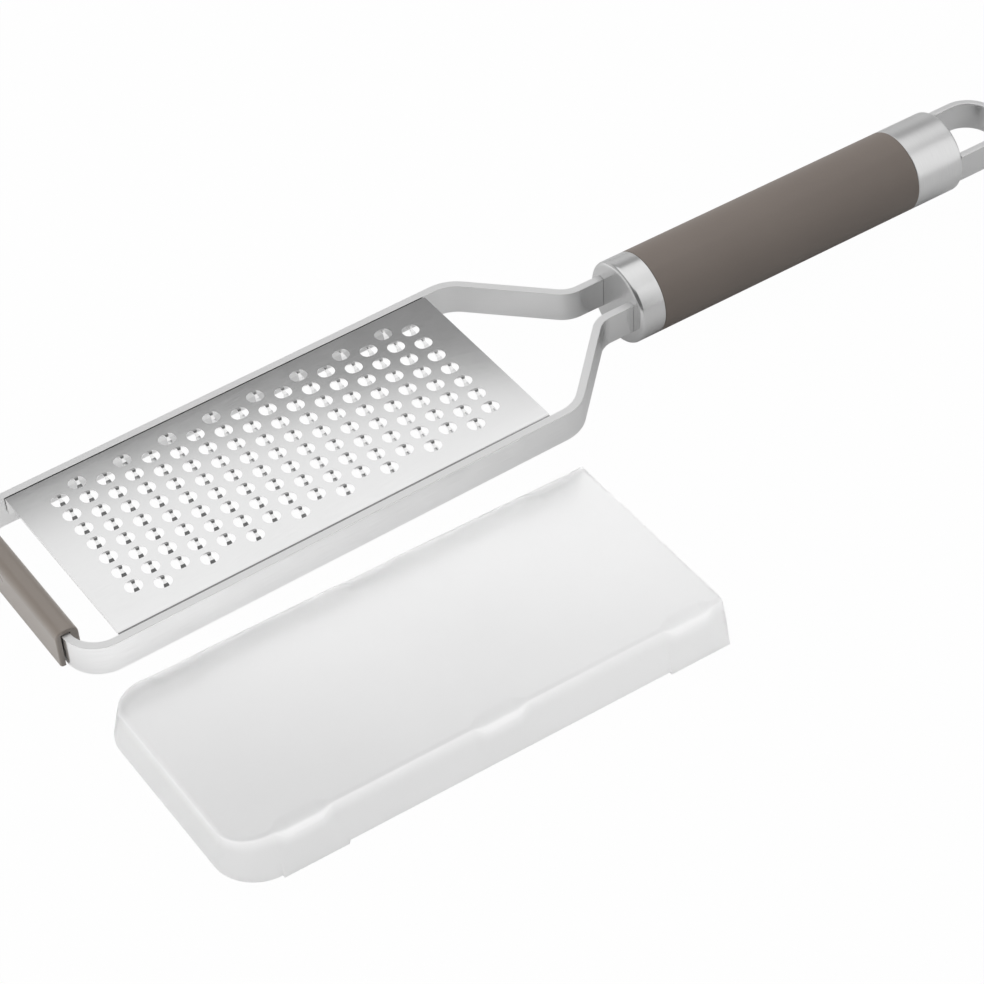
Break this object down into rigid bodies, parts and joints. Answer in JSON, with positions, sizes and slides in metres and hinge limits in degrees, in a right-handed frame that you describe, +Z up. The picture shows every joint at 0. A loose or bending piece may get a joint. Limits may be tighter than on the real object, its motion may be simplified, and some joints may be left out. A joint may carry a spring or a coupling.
{
  "type": "fine grater",
  "caption": "Hand grater with a perforated raised-tooth steel plate in a bent steel strip frame, round soft grip, front foot and hanging loop, with its translucent cover lying beside it.",
  "frame": {"origin": "on the table, under the middle of the bounding box of the grater and its cover", "axes": "+X from the front foot to the hanging loop, +Y from the cover to the grater, +Z up"},
  "size_m": [0.3368, 0.1498, 0.027],
  "materials": {
    "strip_steel": "satin strip steel",
    "plate_steel": "satin sheet steel",
    "polished_steel": "fine satin, nearly polished",
    "inner_steel": "plain, hidden",
    "soft_plastic": "soft-touch taupe",
    "core_plastic": "plain, hidden",
    "frosted_plastic": "frosted translucent"
  },
  "bodies": {
    "grater": {"frame_strip": "strip_steel", "grater_plate": "plate_steel", "front_foot": "soft_plastic", "ferrule": "polished_steel", "tang_block": "inner_steel", "tang_pin": "inner_steel", "grip_core": "core_plastic", "grip_sleeve": "soft_plastic", "tie_rod": "inner_steel", "end_cap": "polished_steel", "hanging_loop": "strip_steel", "loop_pin": "inner_steel"},
    "cover": {"storage_cover": "frosted_plastic"}
  },
  "joints": [
    {"name": "cover_lift", "type": "slide", "parent": "grater", "child": "cover", "axis": [0, 0, 1], "range_m": [0, 0.08]}
  ]
}
